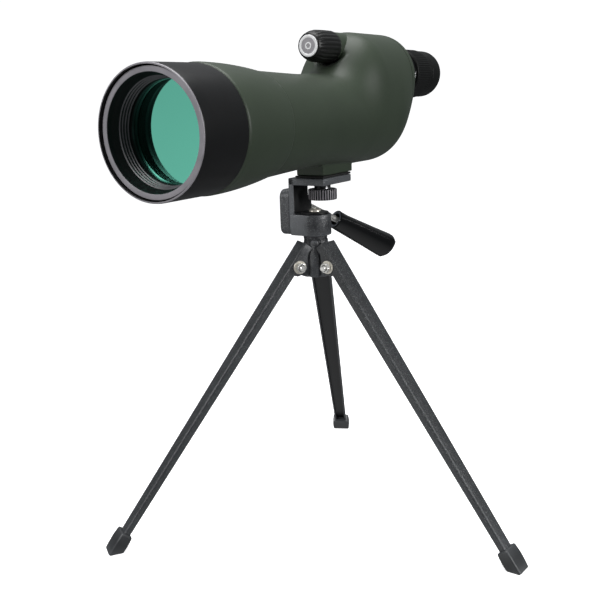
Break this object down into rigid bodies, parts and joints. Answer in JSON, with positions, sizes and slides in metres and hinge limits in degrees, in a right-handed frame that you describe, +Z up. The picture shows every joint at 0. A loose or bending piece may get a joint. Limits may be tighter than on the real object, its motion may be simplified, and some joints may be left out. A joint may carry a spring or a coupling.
{
  "type": "spotting scope",
  "caption": "Straight zoom spotting scope in a rubber-coated housing, with sliding sunshade and top focus knob, on a folding mini tabletop tripod with a pan and tilt head.",
  "frame": {"origin": "on the table, below the middle of the whole object's box", "axes": "+Z up; the objective looks along -Y and the eyepiece points along +Y; +X is to the right of someone facing the objective lens"},
  "size_m": [0.2788, 0.3668, 0.3665],
  "materials": {
    "green_armour": "dull olive-green rubber coating",
    "black_satin": "satin black",
    "black_inner": "matt black",
    "cast_grey": "crinkle charcoal paint on a zinc casting",
    "leg_paint": "crinkle charcoal paint on pressed steel",
    "black_rubber": "matt",
    "rim_rubber": "fine ribbed",
    "steel": "bright zinc plate",
    "brass": "turned",
    "glass_front": "green multi-coating",
    "glass": "polished",
    "white_cap": "gloss white",
    "gloss_black": "gloss"
  },
  "bodies": {
    "tripod": {"tripod_hub": "cast_grey", "pivot_bolt_rear": "steel", "pivot_nut_rear": "steel", "pivot_washer_rear": "steel", "pivot_bolt_left": "steel", "pivot_nut_left": "steel", "pivot_washer_left": "steel", "pivot_bolt_right": "steel", "pivot_nut_right": "steel", "pivot_washer_right": "steel"},
    "leg_rear": {"leg_rear": "leg_paint", "foot_rear": "black_rubber"},
    "leg_left": {"leg_left": "leg_paint", "foot_left": "black_rubber"},
    "leg_right": {"leg_right": "leg_paint", "foot_right": "black_rubber"},
    "pan": {"pan_drum": "cast_grey", "pan_disc": "black_inner", "pan_screw": "steel", "tilt_pivot_screw": "steel"},
    "tilt": {"body_shell": "green_armour", "tube_joint_ring": "black_inner", "rear_cover": "green_armour", "objective_bell": "green_armour", "objective_barrel": "black_satin", "objective_retaining_ring": "black_inner", "objective_front_lens": "glass_front", "objective_rear_lens": "glass", "light_baffle_front": "black_inner", "light_baffle_rear": "black_inner", "prism_rear": "glass", "prism_plate": "black_inner", "guide_rod_left": "steel", "guide_rod_right": "steel", "focus_bushing": "brass", "eyepiece_barrel": "black_satin", "eyepiece_seal": "black_rubber", "eyecup": "black_rubber", "eye_lens": "glass", "field_lens": "glass", "tripod_insert": "brass", "tilt_bracket": "cast_grey", "platform_pad": "black_rubber"},
    "sunshade": {"sunshade": "black_satin"},
    "focus": {"focus_knob": "black_rubber", "focus_knob_cap": "white_cap", "focus_shaft": "steel"},
    "carriage": {"prism_carriage": "black_inner", "prism_front": "glass", "focus_nut": "brass"},
    "zoom": {"zoom_ring": "rim_rubber"},
    "zoom_cell": {"zoom_lens_cell": "black_inner", "zoom_lens": "glass"},
    "thumb": {"camera_screw": "steel", "thumb_wheel": "cast_grey"},
    "handle": {"handle_rod": "steel", "handle_grip": "gloss_black"}
  },
  "joints": [
    {"name": "pan", "type": "hinge", "parent": "tripod", "child": "pan", "pos_m": [-0.03247, -0.0072, 0.2204], "axis": [0, 0, 1], "continuous": true},
    {"name": "tilt", "type": "hinge", "parent": "pan", "child": "tilt", "pos_m": [-0.04847, -0.0037, 0.2286], "axis": [1, 0, 0], "range_deg": [-25, 35]},
    {"name": "leg_rear_fold", "type": "hinge", "parent": "tripod", "child": "leg_rear", "pos_m": [-0.03911, 0.0079, 0.1982], "axis": [-0.9154, -0.4026, 0], "range_deg": [0, 36]},
    {"name": "leg_left_fold", "type": "hinge", "parent": "tripod", "child": "leg_left", "pos_m": [-0.04222, -0.0205, 0.1982], "axis": [0.8063, -0.5915, 0], "range_deg": [0, 36]},
    {"name": "leg_right_fold", "type": "hinge", "parent": "tripod", "child": "leg_right", "pos_m": [-0.01606, -0.009, 0.1982], "axis": [0.109, 0.994, 0], "range_deg": [0, 36]},
    {"name": "sunshade_slide", "type": "slide", "parent": "tilt", "child": "sunshade", "axis": [0, -1, 0], "range_m": [0, 0.034]},
    {"name": "focus_turn", "type": "hinge", "parent": "tilt", "child": "focus", "pos_m": [-0.03247, -0.0072, 0.35515], "axis": [0, 1, 0], "range_deg": [-540, 540]},
    {"name": "focus_travel", "type": "slide", "parent": "tilt", "child": "carriage", "axis": [0, 1, 0], "range_m": [-0.006, 0.006]},
    {"name": "zoom_turn", "type": "hinge", "parent": "tilt", "child": "zoom", "pos_m": [-0.03247, 0.1338, 0.33625], "axis": [0, 1, 0], "range_deg": [0, 130]},
    {"name": "zoom_travel", "type": "slide", "parent": "tilt", "child": "zoom_cell", "axis": [0, 1, 0], "range_m": [0, 0.015]},
    {"name": "thumb_turn", "type": "hinge", "parent": "tilt", "child": "thumb", "pos_m": [-0.03247, 0.0048, 0.25], "axis": [0, 0, 1], "continuous": true},
    {"name": "handle_turn", "type": "hinge", "parent": "tilt", "child": "handle", "pos_m": [-0.05076, 0.0078, 0.24084], "axis": [0.4007, 0.7875, -0.4683], "continuous": true}
  ],
  "couplings": [
    {"joint": "focus_turn", "follows": "focus_travel", "rad_per_m": 1570},
    {"joint": "zoom_turn", "follows": "zoom_travel", "rad_per_m": 151.2}
  ]
}
